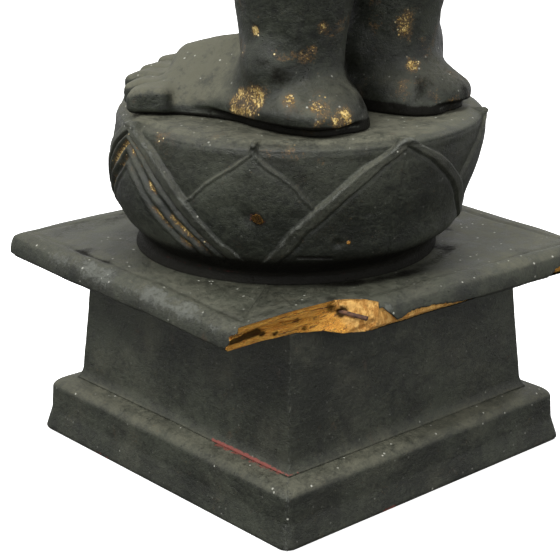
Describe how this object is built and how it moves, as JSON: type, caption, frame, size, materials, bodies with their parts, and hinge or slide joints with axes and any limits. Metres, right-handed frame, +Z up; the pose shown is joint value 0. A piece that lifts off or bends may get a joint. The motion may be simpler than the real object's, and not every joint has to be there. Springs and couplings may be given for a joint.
{
  "type": "standing buddha statue",
  "caption": "Standing Buddha in joined lacquered wood on a lotus seat and a square waisted plinth, right hand raised, left arm hanging.",
  "frame": {"origin": "middle of the plinth's underside, which is the bottom centre of the whole object's box", "axes": "+Z up, the figure faces -Y, and its left side is +X"},
  "size_m": [0.3124, 0.2898, 1.51],
  "materials": {
    "lacquer": "near-black lacquer over carved wood, worn at its edges, with traces of gilding and red",
    "dusty_lacquer": "near-black lacquer under olive-grey dust",
    "bare_wood": "bare honey-brown wood",
    "iron": "rusty wrought iron"
  },
  "bodies": {
    "root": {"corner_nail": "iron", "corner_post_back_left": "bare_wood", "corner_post_back_right": "bare_wood", "corner_post_front_left": "bare_wood", "corner_post_front_right": "bare_wood", "dado_board_back": "lacquer", "dado_board_front": "lacquer", "dado_board_left": "lacquer", "dado_board_right": "lacquer", "finial_peg": "bare_wood", "flame_finial": "lacquer", "foot_peg_back_left": "bare_wood", "foot_peg_back_right": "bare_wood", "foot_peg_front_left": "bare_wood", "foot_peg_front_right": "bare_wood", "head": "lacquer", "left_arm": "lacquer", "left_hand": "lacquer", "left_leg": "dusty_lacquer", "left_shoulder_dowel": "bare_wood", "left_wrist_peg": "bare_wood", "lotus_base": "dusty_lacquer", "lotus_dowel": "bare_wood", "neck_dowel": "bare_wood", "plinth_foot_back": "lacquer", "plinth_foot_front": "lacquer", "plinth_foot_left": "lacquer", "plinth_foot_right": "lacquer", "right_elbow_peg": "bare_wood", "right_forearm": "lacquer", "right_hand": "lacquer", "right_leg": "dusty_lacquer", "right_shoulder_dowel": "bare_wood", "right_upper_arm": "lacquer", "right_wrist_peg": "bare_wood", "robe_body": "lacquer", "slab_peg_back_left": "bare_wood", "slab_peg_back_right": "bare_wood", "slab_peg_front_left": "bare_wood", "slab_peg_front_right": "bare_wood", "top_slab": "dusty_lacquer"}
  },
  "joints": []
}
